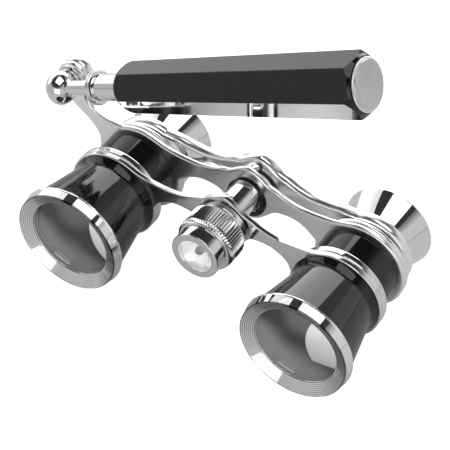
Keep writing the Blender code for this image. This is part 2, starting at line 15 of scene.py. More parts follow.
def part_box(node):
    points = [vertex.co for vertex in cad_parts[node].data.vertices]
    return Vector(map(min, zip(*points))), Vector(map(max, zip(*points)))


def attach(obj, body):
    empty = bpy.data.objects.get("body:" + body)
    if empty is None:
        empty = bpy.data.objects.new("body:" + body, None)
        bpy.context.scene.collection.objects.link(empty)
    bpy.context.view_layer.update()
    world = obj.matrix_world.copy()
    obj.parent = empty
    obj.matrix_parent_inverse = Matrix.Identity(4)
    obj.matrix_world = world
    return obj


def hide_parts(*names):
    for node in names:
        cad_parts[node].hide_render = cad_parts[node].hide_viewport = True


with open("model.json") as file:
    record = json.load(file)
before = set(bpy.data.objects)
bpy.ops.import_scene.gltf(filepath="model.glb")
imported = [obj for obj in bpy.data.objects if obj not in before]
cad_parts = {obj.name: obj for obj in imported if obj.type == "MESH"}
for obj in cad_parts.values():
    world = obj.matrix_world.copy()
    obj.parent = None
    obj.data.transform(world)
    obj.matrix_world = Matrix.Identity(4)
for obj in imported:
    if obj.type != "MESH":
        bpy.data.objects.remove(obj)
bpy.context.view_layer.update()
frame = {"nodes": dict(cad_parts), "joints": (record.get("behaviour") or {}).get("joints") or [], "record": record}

MM = 0.001


# ---------------------------------------------------------------- where things are


def middle(node):
    """The middle of a CAD node's box, in metres."""
    low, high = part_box(node)
    return (low + high) / 2


def joint(name):
    """The record's row for one joint."""
    return next(j for j in frame["joints"] if j["name"] == name)


RIM_LEFT, RIM_RIGHT = middle("objective_rim_left"), middle("objective_rim_right")
RIM_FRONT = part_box("objective_rim_left")[0].y
ORIGIN = Vector(((RIM_LEFT.x + RIM_RIGHT.x) / 2, RIM_FRONT, RIM_LEFT.z))
HALF_SPACING = (RIM_RIGHT.x - RIM_LEFT.x) / 2 / MM
KNOB_HEIGHT = (middle("lamp_bezel").z - ORIGIN.z) / MM
HINGE = (Vector(joint("handle_fold")["pos_m"]) - ORIGIN) / MM
ALONG = Vector(joint("grip_slide")["axis"]).normalized()


def at(x=0.0, y=0.0, z=0.0):
    """The place of a piece whose own zero is this point of the glasses' frame."""
    return Matrix.Translation(ORIGIN + Vector((x, y, z)) * MM)


HINGE_PLACE = at(*HINGE)
UPWARD = Vector((0, 1, 0)).cross(ALONG).normalized()
if UPWARD.z < 0:
    UPWARD = -UPWARD
TURN = Matrix((ALONG.cross(UPWARD), ALONG, UPWARD)).transposed().to_4x4()
HANDLE_PLACE = HINGE_PLACE @ TURN

LEFT, RIGHT = -HALF_SPACING, HALF_SPACING
SIDES = (("left", LEFT), ("right", RIGHT))

# The bridges' front and rear faces, along y.
FRONT_PLATE = (23.0, 24.7)
REAR_PLATE = (36.34, 38.04)
EYE_PLATE = (41.6, 45.3)

# Where the barrels' seats and the rear bridge's bosses end.
SEAT_REAR = 40.9

# The objective rims' ridged face, which the rims' material needs too.
RIDGES = 7
RIM_OUTER, RIM_INNER = 15.42, 12.25
RIM_PITCH = (RIM_OUTER - RIM_INNER) / RIDGES
RIM_EDGE, RIM_SIDE = 15.5, 15.72

# The grip's six flats look along these angles, measured from straight up.
GRIP_FLATS = [60 * i for i in range(6)]
LOWER_FRONT = GRIP_FLATS[2]


# ---------------------------------------------------------------- materials


class Nodes:
    """A small helper that adds and links shader nodes."""

    def __init__(self, name):
        self.material = bpy.data.materials.new(name)
        self.material.use_nodes = True
        self.tree = self.material.node_tree
        self.shader = self.tree.nodes["Principled BSDF"]
        self.output = self.tree.nodes["Material Output"]
        coords = self.tree.nodes.new("ShaderNodeTexCoord")
        self.object = coords.outputs["Object"]

    def add(self, kind, values=(), **settings):
        node = self.tree.nodes.new(kind)
        for key, value in settings.items():
            setattr(node, key, value)
        for key, value in dict(values).items():
            if isinstance(value, bpy.types.NodeSocket):
                self.tree.links.new(value, node.inputs[key])
            else:
                node.inputs[key].default_value = value
        return node

    def noise(self, scale, detail=3.0, roughness=0.55, stretch=None):
        vector = self.object
        if stretch:
            vector = self.add("ShaderNodeMapping", {"Vector": vector, "Scale": stretch}).outputs[0]
        values = {"Vector": vector, "Scale": scale, "Detail": detail, "Roughness": roughness}
        return self.add("ShaderNodeTexNoise", values).outputs["Fac"]

    def remap(self, value, low, high, to_low, to_high):
        values = {
            "Value": value, "From Min": low, "From Max": high, "To Min": to_low, "To Max": to_high,
        }
        return self.add("ShaderNodeMapRange", values, clamp=True).outputs[0]

    def math(self, operation, *values):
        return self.add("ShaderNodeMath", enumerate(values), operation=operation).outputs[0]

    def grey(self, value):
        channels = {"Red": value, "Green": value, "Blue": value}
        return self.add("ShaderNodeCombineColor", channels).outputs[0]

    def axes(self):
        return self.add("ShaderNodeSeparateXYZ", {"Vector": self.object}).outputs

    def from_axis(self, x=0.0, z=0.0):
        """How far, in metres, a point is from the line along y through (x, z) in millimetres."""
        axes = self.axes()
        flat = self.add("ShaderNodeCombineXYZ", {"X": axes["X"], "Z": axes["Z"]}).outputs[0]
        ends = {0: flat, 1: (x * MM, 0, z * MM)}
        return self.add("ShaderNodeVectorMath", ends, operation="DISTANCE").outputs["Value"]

    def bump(self, height, distance, strength):
        values = {"Height": height, "Distance": distance, "Strength": strength}
        return self.add("ShaderNodeBump", values).outputs["Normal"]

    def set(self, **values):
        """Sets or links the shader's own sockets, with underscores for the spaces in their names."""
        for key, value in values.items():
            socket = self.shader.inputs[key.replace("_", " ")]
            if isinstance(value, bpy.types.NodeSocket):
                self.tree.links.new(value, socket)
            else:
                socket.default_value = value
        return self.material

    def cover(self, share, other):
        """Lays another shader over the material's own, by share."""
        layers = {0: share, 1: self.shader.outputs[0], 2: other.outputs[0]}
        mix = self.add("ShaderNodeMixShader", layers)
        self.tree.links.new(mix.outputs[0], self.output.inputs["Surface"])
        return self.material


def chrome(name="chrome", tone=0.83, rough=(0.025, 0.06)):
    """Polished plate: almost a mirror, with faint smears and a few hair scratches."""
    n = Nodes(name)
    smear = n.noise(90, 4)
    hair = n.noise(700, 2, 0.4, (1, 6, 1))
    base = n.remap(smear, 0.3, 0.75, rough[0], rough[1])
    extra = n.remap(hair, 0.62, 0.8, 0.0, 0.035)
    tint = n.remap(smear, 0.2, 0.8, tone * 0.97, tone)
    return n.set(Base_Color=n.grey(tint), Metallic=1.0, Roughness=n.math("ADD", base, extra))


def rim_chrome_painted_shade(name="rim_chrome_painted_shade", tone=0.95, shade_and_bevel_tone=0.12):
    """Plate for the objective rims, with painted shade in the hollow beside each ridge, and dark on the outer
    bevel.
    """
    n = Nodes(name)
    smear = n.noise(90, 4)
    radius = n.from_axis()
    turn = n.math("FRACT", n.math("DIVIDE", n.math("SUBTRACT", RIM_OUTER * MM, radius), RIM_PITCH * MM))
    # Painted shade: a narrow band beside each ridge is tinted nearly black, for the shade that falls in that
    # hollow.
    painted_groove_shade = n.remap(turn, 0.24, 0.38, 1.0, 0.0)
    on_face = n.remap(radius, (RIM_OUTER + 0.02) * MM, (RIM_OUTER + 0.06) * MM, 1.0, 0.0)
    shallow = n.remap(n.axes()["Y"], 1.9 * MM, 2.0 * MM, 1.0, 0.0)
    painted_groove_shade = n.math("MULTIPLY", n.math("MULTIPLY", painted_groove_shade, on_face), shallow)
    past_edge = n.remap(radius, RIM_EDGE * MM, (RIM_EDGE + 0.04) * MM, 0.0, 1.0)
    before_side = n.remap(radius, RIM_SIDE * MM, (RIM_SIDE + 0.04) * MM, 1.0, 0.0)
    dark = n.math("MAXIMUM", painted_groove_shade, n.math("MULTIPLY", past_edge, before_side))
    tint = n.remap(smear, 0.2, 0.8, tone * 0.97, tone)
    tint = n.math("MULTIPLY", tint, n.remap(dark, 0.0, 1.0, 1.0, shade_and_bevel_tone))
    return n.set(
        Base_Color=n.grey(tint), Metallic=1.0, Roughness=n.remap(smear, 0.3, 0.75, 0.03, 0.07),
    )


def satin_steel(name="satin_steel", tone=0.6, rough=(0.16, 0.3)):
    """Turned steel with fine concentric tool marks about each piece's own y axis."""
    n = Nodes(name)
    marks = {"W": n.from_axis(), "Scale": 9000.0, "Detail": 2.0}
    rings = n.add("ShaderNodeTexNoise", marks, noise_dimensions="1D").outputs["Fac"]
    wear = n.noise(140, 3)
    return n.set(
        Base_Color=n.grey(n.remap(wear, 0.3, 0.7, tone * 0.9, tone * 1.08)), Metallic=1.0,
        Roughness=n.remap(rings, 0.3, 0.7, rough[0], rough[1]),
        Normal=n.bump(rings, 0.00001, 0.6),
    )


def lacquer(n, dusty):
    """Black gloss lacquer on the material's own shader, with a trace of orange peel."""
    peel = n.noise(420, 2, 0.4)
    cloud = n.noise(60, 3)
    tone = n.remap(cloud, 0.3, 0.7, 0.0045, 0.0075)
    if dusty:
        tone = n.math("ADD", tone, n.remap(n.noise(2600, 1, 0.3), 0.74, 0.8, 0.0, 0.02))
    return n.set(
        Base_Color=n.grey(tone), Metallic=0.0, IOR=1.52,
        Roughness=n.remap(cloud, 0.3, 0.75, 0.03, 0.075), Normal=n.bump(peel, 0.000006, 0.25),
    )


def enamel(name="enamel"):
    """The barrels' black stoved enamel, with specks of dust."""
    return lacquer(Nodes(name), True)


def grip_enamel_painted_highlight(name="grip_enamel_painted_highlight"):
    """The grip's lacquer, its lower front flat a real reflection brightened 1.7 times, a painted highlight."""
    n = Nodes(name)
    lacquer(n, False)
    normal = n.add("ShaderNodeTexCoord").outputs["Normal"]
    facing = (math.sin(math.radians(LOWER_FRONT)), 0, math.cos(math.radians(LOWER_FRONT)))
    turned = n.add("ShaderNodeVectorMath", {0: normal, 1: facing}, operation="DOT_PRODUCT")
    share = n.remap(turned.outputs["Value"], 0.97, 0.99, 0.0, 0.92)
    # Painted highlight: this glossy layer gives back more light than reaches it, on the lower front flat only.
    mirror = n.add("ShaderNodeBsdfGlossy", {"Color": (1.7, 1.7, 1.7, 1), "Roughness": 0.05})
    return n.cover(share, mirror)


def matt_black(name="matt_black", tone=0.02, rough=0.55):
    """Blackened inner pieces: fine grain, dull."""
    n = Nodes(name)
    grain = n.noise(1500, 2)
    cloud = n.noise(150, 3)
    return n.set(
        Base_Color=n.grey(n.remap(cloud, 0.3, 0.7, tone * 0.8, tone * 1.25)),
        Roughness=n.remap(grain, 0.3, 0.7, rough - 0.08, rough + 0.08),
        Normal=n.bump(grain, 0.00002, 0.4),
    )


def lens_glass(name="lens_glass", painted_haze=0.0, painted_glow=None):
    """Clear ground glass. Light passes straight through it for shadows, so that what is behind
    it is lit. With a painted glow the glass turns mostly dark and emits light: a cloudy haze, and a
    brighter patch for the barrel's lit inside wall, inside a circle and above a bottom,
    (x, z, radius, bottom) in millimetres, then the patch's strength low down and high up."""
    n = Nodes(name)
    smear = n.noise(120, 3)
    n.set(
        Base_Color=(0.96, 0.96, 0.96, 1), Transmission_Weight=1.0, IOR=1.5, Metallic=0.0,
        Roughness=n.remap(smear, 0.45, 0.8, 0.0, 0.02),
    )
    if painted_glow:
        # Painted light: the glass glows, brightest in a patch where the barrel's lit inside wall would show, with
        # a cloudy haze of glow over all of it.
        x, z, radius, bottom, low, high = painted_glow
        height = n.axes()["Z"]
        inside = n.remap(n.from_axis(x, z), (radius + 0.15) * MM, (radius - 0.15) * MM, 0.0, 1.0)
        above = n.remap(height, (bottom - 0.3) * MM, (bottom + 0.3) * MM, 0.0, 1.0)
        patch = n.math("MULTIPLY", inside, above)
        fade = n.remap(height, -6 * MM, 8 * MM, low, high)
        cloud = n.remap(n.noise(55, 1), 0.38, 0.62, painted_haze * 0.3, painted_haze * 2.6)
        n.set(
            Emission_Color=(1, 1, 1, 1), Emission_Strength=n.math("MULTIPLY_ADD", patch, fade, cloud),
            Base_Color=(0.03, 0.03, 0.03, 1), Transmission_Weight=0.35,
        )
    clear = n.add("ShaderNodeBsdfTransparent", {"Color": (0.87, 0.87, 0.87, 1)})
    return n.cover(n.add("ShaderNodeLightPath").outputs["Is Shadow Ray"], clear)


def lamp_reflector(name="lamp_reflector"):
    """The lamp's pressed bowl: bright plate with a painted glow, light that the bowl itself emits."""
    n = Nodes(name)
    cloud = n.noise(380, 2)
    # Painted light: the bowl emits a patchy glow of its own.
    return n.set(
        Base_Color=n.grey(n.remap(cloud, 0.3, 0.7, 0.8, 0.95)), Metallic=0.9,
        Roughness=n.remap(cloud, 0.3, 0.7, 0.08, 0.16), Emission_Color=(1, 1, 1, 1),
        Emission_Strength=n.remap(n.noise(150, 1), 0.35, 0.65, 0.3, 0.55),
    )


def lamp_dome(name="lamp_dome"):
    """The lamp's cloudy epoxy."""
    n = Nodes(name)
    return n.set(
        Base_Color=n.grey(n.remap(n.noise(900, 2), 0.3, 0.7, 0.55, 0.75)),
        Roughness=0.12, Transmission_Weight=0.3,
        Subsurface_Weight=0.2, Subsurface_Radius=(0.001, 0.001, 0.001),
    )


PLATE_CHROME = chrome("plate_chrome", 0.83, (0.1, 0.14))
SOFT_CHROME = chrome("soft_chrome", 0.95, (0.2, 0.27))
RIM_CHROME = rim_chrome_painted_shade()
CAP_STEEL = satin_steel("brushed_cap", 0.72, (0.12, 0.2))
ENAMEL = enamel()
GRIP = grip_enamel_painted_highlight()
# Both objective glasses carry painted light: a glowing haze and a bright patch for the barrel's lit inside wall.
OBJECTIVE = {
    "left": lens_glass("objective_glass_left", 0.05, (22.0, 8.5, 16.0, -9.0, 0.25, 0.6)),
    "right": lens_glass("objective_glass_right", 0.06, (15.5, 4.5, 13.0, -3.2, 0.22, 0.6)),
}
FINISH = {
    "chrome": chrome(), "steel": satin_steel(), "black_enamel": ENAMEL, "black_inner": matt_black(),
    "glass": lens_glass(), "reflector": lamp_reflector(), "lamp_led": lamp_dome(),
}
SLOTS = {row["node"]: row["material_slot"] for row in frame["record"]["subparts"]}
for node, obj in frame["nodes"].items():
    obj.data.materials.clear()
    obj.data.materials.append(FINISH[SLOTS[node]])


# ---------------------------------------------------------------- shape helpers


def add_object(name, data, place=Matrix()):
    obj = bpy.data.objects.new(name, data)
    bpy.context.scene.collection.objects.link(obj)
    obj.matrix_world = place
    return obj


def evaluated_mesh(obj):
    """A copy of an object's mesh with its modifiers applied."""
    bpy.context.view_layer.update()
    return bpy.data.meshes.new_from_object(obj.evaluated_get(bpy.context.evaluated_depsgraph_get()))


def finish_piece(name, mesh, place, body, node=None, material=None, smooth=30):
    """Adds a piece to the scene, smooth except at edges sharper than smooth degrees, riding on a
    CAD body and standing in for a CAD node."""
    slot = SLOTS[node] if node else "chrome"
    mesh.materials.clear()
    mesh.materials.append(material or FINISH[slot])
    mesh.shade_smooth()
    mesh.set_sharp_from_angle(angle=math.radians(smooth))
    obj = add_object(name, mesh, place)
    weighted = obj.modifiers.new("flats", "WEIGHTED_NORMAL")
    weighted.keep_sharp = True
    weighted.weight = 60
    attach(obj, body)
    if node:
        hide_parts(node)
    return obj


# Shorter than this many millimetres counts as nothing.
TINY = 1e-6


def mesh_from(name, work):
    """A mesh from a bmesh, cleaned and with its faces turned outwards. It uses the bmesh up."""
    bmesh.ops.remove_doubles(work, verts=work.verts, dist=1e-7)
    bmesh.ops.dissolve_degenerate(work, dist=1e-7, edges=work.edges)
    bmesh.ops.recalc_face_normals(work, faces=work.faces)
    mesh = bpy.data.meshes.new(name)
    work.to_mesh(mesh)
    work.free()
    return mesh


def eased(outline, default=0.12, steps=4):
    """Rounds the corners of a closed outline of (radius, y) or (radius, y, rounding) points."""
    points = [Vector(p[:2]) for p in outline]
    sizes = [p[2] if len(p) > 2 else default for p in outline]
    out = []
    for i, (corner, size) in enumerate(zip(points, sizes)):
        before, after = points[i - 1], points[(i + 1) % len(points)]
        one, two = before - corner, after - corner
        if size <= 0 or min(one.length, two.length, corner.x) < TINY:
            out.append(corner)
            continue
        if one.angle(two, math.pi) > math.radians(170):
            out.append(corner)
            continue
        reach = min(size, one.length * 0.45, two.length * 0.45)
        start, end = corner + one.normalized() * reach, corner + two.normalized() * reach
        for k in range(steps + 1):
            t = k / steps
            out.append(start * (1 - t) ** 2 + corner * 2 * t * (1 - t) + end * t * t)
    return out


def lathe_mesh(name, outline, steps=144, rounding=0.12, ripple=None):
    """A solid turned about the y axis. ripple(angle, radius) changes the radius."""
    points = eased(outline, rounding)
    work = bmesh.new()
    rings = []
    for k in range(steps):
        a = math.tau * k / steps
        ring = []
        for p in points:
            radius = ripple(a, p.x) if ripple else p.x
            ring.append(work.verts.new((radius * MM * math.cos(a), p.y * MM, radius * MM * math.sin(a))))
        rings.append(ring)
    for one, two in zip(rings, rings[1:] + rings[:1]):
        for i in range(len(points)):
            j = (i + 1) % len(points)
            if max(points[i].x, points[j].x) < TINY:
                continue
            work.faces.new((one[i], one[j], two[j], two[i]))
    return mesh_from(name, work)


def lathe(name, outline, place, body, node=None, steps=144, rounding=0.12, ripple=None, **more):
    """Adds a turned piece. more goes to finish_piece."""
    mesh = lathe_mesh(name, outline, steps, rounding, ripple)
    return finish_piece(name, mesh, place, body, node, **more)


def sleeve(bore, radius, front, rear, rounding=None):
    """The outline of a plain ring or tube, its outer corners rounded by rounding if given."""
    corner = () if rounding is None else (rounding,)
    return [(bore, front), (radius, front, *corner), (radius, rear, *corner), (bore, rear)]


def curve_run(points, steps=8):
    """A Catmull-Rom curve through points, without the last of them."""
    ends = [Vector(p) for p in points]
    ends = [2 * ends[0] - ends[1]] + ends + [2 * ends[-1] - ends[-2]]
    run = []
    for a, b, c, d in zip(ends, ends[1:], ends[2:], ends[3:]):
        for i in range(steps):
            t = i / steps
            run.append(0.5 * (2 * b + (c - a) * t + (2 * a - 5 * b + 4 * c - d) * t**2
                              + (3 * b - a - 3 * c + d) * t**3))
    return run


def arc(centre, radius, start, end, steps):
    """Points round a centre from one angle to another, in degrees, without the last of them."""
    angles = [math.radians(start + (end - start) * i / steps) for i in range(steps)]
    return [Vector((centre[0] + radius * math.cos(a), centre[1] + radius * math.sin(a)))
            for a in angles]


def plate_mesh(name, outlines, front, rear, edge):
    """A flat plate in the x-z plane from closed outlines, the first the rim and the rest holes,
    with its edges rounded."""
    data = bpy.data.curves.new(name, "CURVE")
    data.dimensions = "2D"
    data.fill_mode = "BOTH"
    data.extrude = ((rear - front) / 2 - edge) * MM
    data.bevel_depth = edge * MM
    data.bevel_resolution = 4
    data.offset = -edge * MM
    for outline in outlines:
        spline = data.splines.new("POLY")
        spline.points.add(len(outline) - 1)
        for point, p in zip(spline.points, outline):
            point.co = (p[0] * MM, p[1] * MM, 0, 1)
        spline.use_cyclic_u = True
    helper = add_object(name + "_outline", data)
    mesh = evaluated_mesh(helper)
    bpy.data.objects.remove(helper)
    bpy.data.curves.remove(data)
    upright = Matrix.Rotation(math.pi / 2, 4, "X")
    mesh.transform(Matrix.Translation((0, (front + rear) / 2 * MM, 0)) @ upright)
    mesh.name = name
    work = bmesh.new()
    work.from_mesh(mesh)
    bmesh.ops.remove_doubles(work, verts=work.verts, dist=1e-6)
    bmesh.ops.recalc_face_normals(work, faces=work.faces)
    work.to_mesh(mesh)
    work.free()
    return mesh


# ---------------------------------------------------------------- barrels

FACE_DEPTH = 1.7
BARREL_BORE = 10.0
BRIDGE_SEAT = 11.0


def rim_outline():
    """The chrome rim: ridges stepping down to the opening, a flared band, a bright bevel."""
    face = []
    for i in range(RIDGES):
        r, y = RIM_OUTER - RIM_PITCH * i, 0.12 + FACE_DEPTH / RIDGES * i
        face += [(r, y, 0.015), (r - RIM_PITCH * 0.34, y - 0.05, 0.04)]
    start = [(RIM_EDGE, 0.0, 0.05), (15.66, 0.08, 0.06), (RIM_SIDE, 0.5, 0.1)]
    side = [(16.1, 3.0, 0.05), (16.2, 3.1, 0.05), (16.2, 3.6, 0.1)]
    back = [(15.2, 3.62, 0), (15.2, 3.9, 0), (13.6, 3.9, 0), (13.6, 7.0, 0), (12.9, 7.0, 0)]
    throat = [(12.9, 2.7, 0), (12.0, 2.6, 0.05), (12.0, 2.0, 0.15)]
    return start + side + back + throat + face[::-1]


def lens_outline(radius, front_edge, rear_edge, front_bulge, rear_bulge, rings=24):
    """A lens: its edge's two ends, and how far its faces bulge outwards from them at the axis."""
    front = [(radius * i / rings, front_edge - front_bulge * (1 - (i / rings) ** 2), 0)
             for i in range(rings + 1)]
    rear = [(radius * i / rings, rear_edge + rear_bulge * (1 - (i / rings) ** 2), 0)
            for i in range(rings, -1, -1)]
    return front + rear


def barrel(side, x):
    """One objective rim with its lens and the two parts of its barrel."""
    place = at(x)
    lathe(f"rim_{side}", rim_outline(), place, "glasses", f"objective_rim_{side}", 192,
          material=RIM_CHROME, smooth=25)
    lathe(f"objective_{side}", lens_outline(12.6, 3.5, 4.5, 1.1, 0.0), place, "glasses",
          f"objective_lens_{side}", 96, material=OBJECTIVE[side])
    lathe(f"lens_ring_{side}", sleeve(11.75, 12.6, 4.9, 6.6), place, "glasses",
          f"objective_retainer_{side}", 96)
    cone = [
        (15.42, 3.7, 0.15), (12.2, 20.6, 1.2), (12.75, 22.0, 1.2), (13.3, 22.9, 0.1),
        (BRIDGE_SEAT, 22.95, 0), (BRIDGE_SEAT, 29.9, 0), (BARREL_BORE, 29.9, 0),
        (BARREL_BORE, 21.2, 0), (13.7, 7.6, 0), (13.9, 7.3, 0), (13.9, 3.95, 0),
    ]
    lathe(f"front_barrel_body_{side}", cone, place, "glasses", f"front_barrel_{side}", 160)
    rear = [
        (12.1, 26.95, 0.15), (12.1, 36.3, 0.15), (BRIDGE_SEAT, 36.3, 0),
        (BRIDGE_SEAT, SEAT_REAR, 0), (BARREL_BORE, SEAT_REAR, 0), (BARREL_BORE, 30.2, 0),
        (11.3, 30.2, 0), (11.3, 26.95, 0),
    ]
    lathe(f"rear_barrel_body_{side}", rear, place, "glasses", f"rear_barrel_{side}", 160)


def eyepiece(side, x):
    """One eyecup with its lens and draw tube."""
    place = at(x)
    lathe(f"draw_tube_{side}", sleeve(8.9, 9.6, 29.0, EYE_PLATE[1]), place, "eyepieces",
          f"eyepiece_tube_{side}", 120)
    flare_front, flare_rear, flare_steps = 45.4, 54.15, 12
    flare = [
        (10.6 + 2.5 * t**1.25, flare_front + (flare_rear - flare_front) * t, 0.3 if t in (0, 1) else 0)
        for t in [i / flare_steps for i in range(flare_steps + 1)]
    ]
    cup = flare + [
        (13.0, 54.55, 0.15), (12.3, 54.58, 0.15), (11.2, 53.2, 0.6), (8.7, 50.3, 0.5),
        (7.2, 50.0, 0.15), (7.2, 49.2, 0), (8.0, 49.2, 0), (8.0, 42.9, 0), (8.6, 42.9, 0),
        (8.6, flare_front, 0),
    ]
    lathe(f"cup_{side}", cup, place, "eyepieces", f"eyecup_{side}", 160)
    lathe(f"ocular_{side}", lens_outline(7.7, 46.2, 48.9, -0.7, -0.6), place, "eyepieces",
          f"eye_lens_{side}", 72)
    lathe(f"ocular_ring_{side}", sleeve(6.9, 7.7, 44.4, 45.8), place, "eyepieces",
          f"eye_lens_retainer_{side}", 72)


for side, x in SIDES:
    barrel(side, x)
    eyepiece(side, x)


# ---------------------------------------------------------------- bridges

# Outer radii round the barrels and the eyepieces, and the angles at which the plate's lower and
# upper curves join a ring.
RING, EYE_RING = 13.8, 12.5
LEAVE, MEET = 173, 112
PLATE_BORE, HUB_BORE, PIN_BORE = 11.05, 4.7, 1.6


def bridge_outline(ring, waist_top, waist_bottom, horn=None):
    """The bridge's rim, as in the CAD model but with smoother curves. A horn is the angle where
    it leaves the left ring, its points, and the angle where it comes back."""
    right, left = (RIGHT, 0), (LEFT, 0)
    top = [(26.4, waist_top + 0.7), (21.6, waist_top + 0.1), (16.6, waist_top),
           (12.2, waist_top + 0.9), (9.0, waist_top + 2.2), (6.2, 14.1), (3.0, 16.3), (0, 17.3)]
    bottom = [(20.6, waist_bottom - 3.1), (18.6, waist_bottom - 1.5), (15.6, waist_bottom - 0.2),
              (12.2, waist_bottom), (8.8, waist_bottom - 0.8), (6.2, 2.6), (3.4, 0.2), (0, -0.7)]

    def on_ring(centre, angle):
        return arc(centre, ring, angle, angle + 1, 1)[0]

    lower = [on_ring(left, 180 - LEAVE)] + [(-x, z) for x, z in bottom]
    lower += [p for p in reversed(bottom) if p[0]] + [on_ring(right, LEAVE)]
    upper = [on_ring(right, MEET)] + top + [(-x, z) for x, z in reversed(top) if x]
    upper += [on_ring(left, 180 - MEET)]
    outline = curve_run(lower) + arc(right, ring, LEAVE, 360 + MEET, 80) + curve_run(upper)
    if horn is None:
        return outline + arc(left, ring, 180 - MEET, 540 - LEAVE, 80)
    first, points, last = horn
    outline += arc(left, ring, 180 - MEET, first, 14)
    outline += curve_run([on_ring(left, first)] + points + [on_ring(left, last)])
    return outline + arc(left, ring, last, 540 - LEAVE, 50)


# The horn carries the hinge. It rises from the left ring, goes round the hinge's boss and returns.
BOSS = 4.9
HORN = [
    (-45.3, 12.5), (-48.9, 13.4), (-51.8, 15.0), (-53.3, 17.3), (-53.5, 20.0),
    (HINGE.x + BOSS * 0.98, HINGE.z + 1.0), (HINGE.x + BOSS * 0.62, HINGE.z + BOSS * 0.785),
    (HINGE.x, HINGE.z + BOSS), (HINGE.x - BOSS * 0.7, HINGE.z + BOSS * 0.71),
    (HINGE.x - BOSS * 0.94, HINGE.z), (-62.0, 19.3), (-60.0, 15.6), (-56.6, 12.5), (-53.2, 10.3),
    (-50.9, 8.0), (-49.4, 5.4),
]


def bridge(name, node, body, faces, edge, outline, bore, hub, material, extra=()):
    """A plate with a bore for each barrel and one for the centre column, edges rounded by edge."""
    holes = [arc((x, 0), bore, 0, 360, 96) for _, x in SIDES]
    holes.append(arc((0, KNOB_HEIGHT), hub, 0, 360, 64))
    mesh = plate_mesh(name, [outline] + holes + list(extra), *faces, edge)
    finish_piece(name, mesh, at(), body, node, material, smooth=50)


def collar(name, x, z, outline, material=None):
    """A raised ring on the rear of a fixed bridge, in plain chrome unless given a material."""
    lathe(name, outline, at(x, 0, z), "glasses", None, 160, material=material)


bridge("front_bridge_plate", "front_bridge", "glasses", FRONT_PLATE, 0.3,
       bridge_outline(RING, 10.7, 7.2), PLATE_BORE, HUB_BORE, PLATE_CHROME)
bridge("rear_bridge_plate", "rear_bridge", "glasses", REAR_PLATE, 0.84,
       bridge_outline(RING, 11.0, 5.9, (116, HORN, 172)), PLATE_BORE, HUB_BORE, SOFT_CHROME,
       [arc((HINGE.x, HINGE.z), PIN_BORE, 0, 360, 32)])
bridge("eyepiece_bridge_plate", "eyepiece_bridge", "eyepieces", EYE_PLATE, 1.4,
       bridge_outline(EYE_RING, 10.9, 5.9), 9.7, 3.7, SOFT_CHROME)

BEHIND_FRONT, BEHIND_REAR = FRONT_PLATE[1] + 0.02, REAR_PLATE[1] + 0.02
for side, x in SIDES:
    collar(f"front_collar_{side}", x, 0, sleeve(PLATE_BORE, RING, BEHIND_FRONT, 26.9, 0.45))
    collar(f"rear_collar_{side}", x, 0, sleeve(PLATE_BORE, RING - 0.1, BEHIND_REAR, 39.4, 0.45),
           SOFT_CHROME)
collar("hub_collar", 0, KNOB_HEIGHT, sleeve(HUB_BORE, 6.6, BEHIND_REAR, SEAT_REAR, 0.6), SOFT_CHROME)
collar("hinge_boss", HINGE.x, HINGE.z, sleeve(PIN_BORE, BOSS, BEHIND_REAR, SEAT_REAR, 0.9), SOFT_CHROME)


def screw_block(name, front, rear):
    """The pad on a hub's top that holds a grub screw."""
    width, height, middle_height = 2.6, 3.0, 14.6
    work = bmesh.new()
    bmesh.ops.create_cube(work, size=1.0)
    bmesh.ops.scale(work, verts=work.verts, vec=(width * MM, (rear - front) * MM, height * MM))
    place = at(0, (front + rear) / 2, middle_height)
    pad = finish_piece(name, mesh_from(name, work), place, "glasses")
    soft = pad.modifiers.new("edges", "BEVEL")
    soft.width = 0.5 * MM
    soft.segments = 4
    pad.modifiers.move(1, 0)


screw_block("front_pad", 24.6, 26.9)
screw_block("rear_pad", 38.0, 40.8)


# ---------------------------------------------------------------- centre column and knob

COLUMN = at(0, 0, KNOB_HEIGHT)

# In the photo the tube is higher than the knob's axis. The CAD model has it on the axis.
TUBE_HEIGHT = 9.0
lathe("column", [(4.3, BEHIND_FRONT), (4.6, BEHIND_FRONT), (4.6, 35.5, 0.25), (4.3, 35.5)],
      at(0, 0, TUBE_HEIGHT), "glasses", "centre_tube", 96)
lathe("front_collar", [(4.62, 21.6), (6.5, 21.6, 0.3), (7.7, 22.2, 0.4), (7.7, 23.0), (4.62, 23.0)],
      COLUMN, "glasses", "knob_boss", 128)
lathe("rear_collar", [(4.62, 35.55), (5.7, 35.55, 0.2), (6.1, 35.8, 0.15), (6.1, 36.3), (4.62, 36.3)],
      COLUMN, "glasses", "tube_collar", 96, material=ENAMEL)
lathe("nut", [(0, 45.35), (3.3, 45.35, 0.25), (3.6, 45.1, 0.1), (3.6, 36.6), (2.4, 36.6),
              (2.4, 43.9), (0, 43.9)], COLUMN, "eyepieces", "focus_nut", 72)

RIBS = 62
RIB_DEPTH = 0.36
PLAIN_RADIUS, FULL_RADIUS = 8.0, 8.35


def rib(angle, radius):
    """Straight ribs with narrow crests, fading out where the sleeve's ends curve inwards."""
    share = (radius - PLAIN_RADIUS) / (FULL_RADIUS - PLAIN_RADIUS)
    depth = RIB_DEPTH * min(max(share, 0.0), 1.0)
    phase = (angle * RIBS / math.tau) % 1.0
    return radius - depth * abs(phase - 0.5) * 2


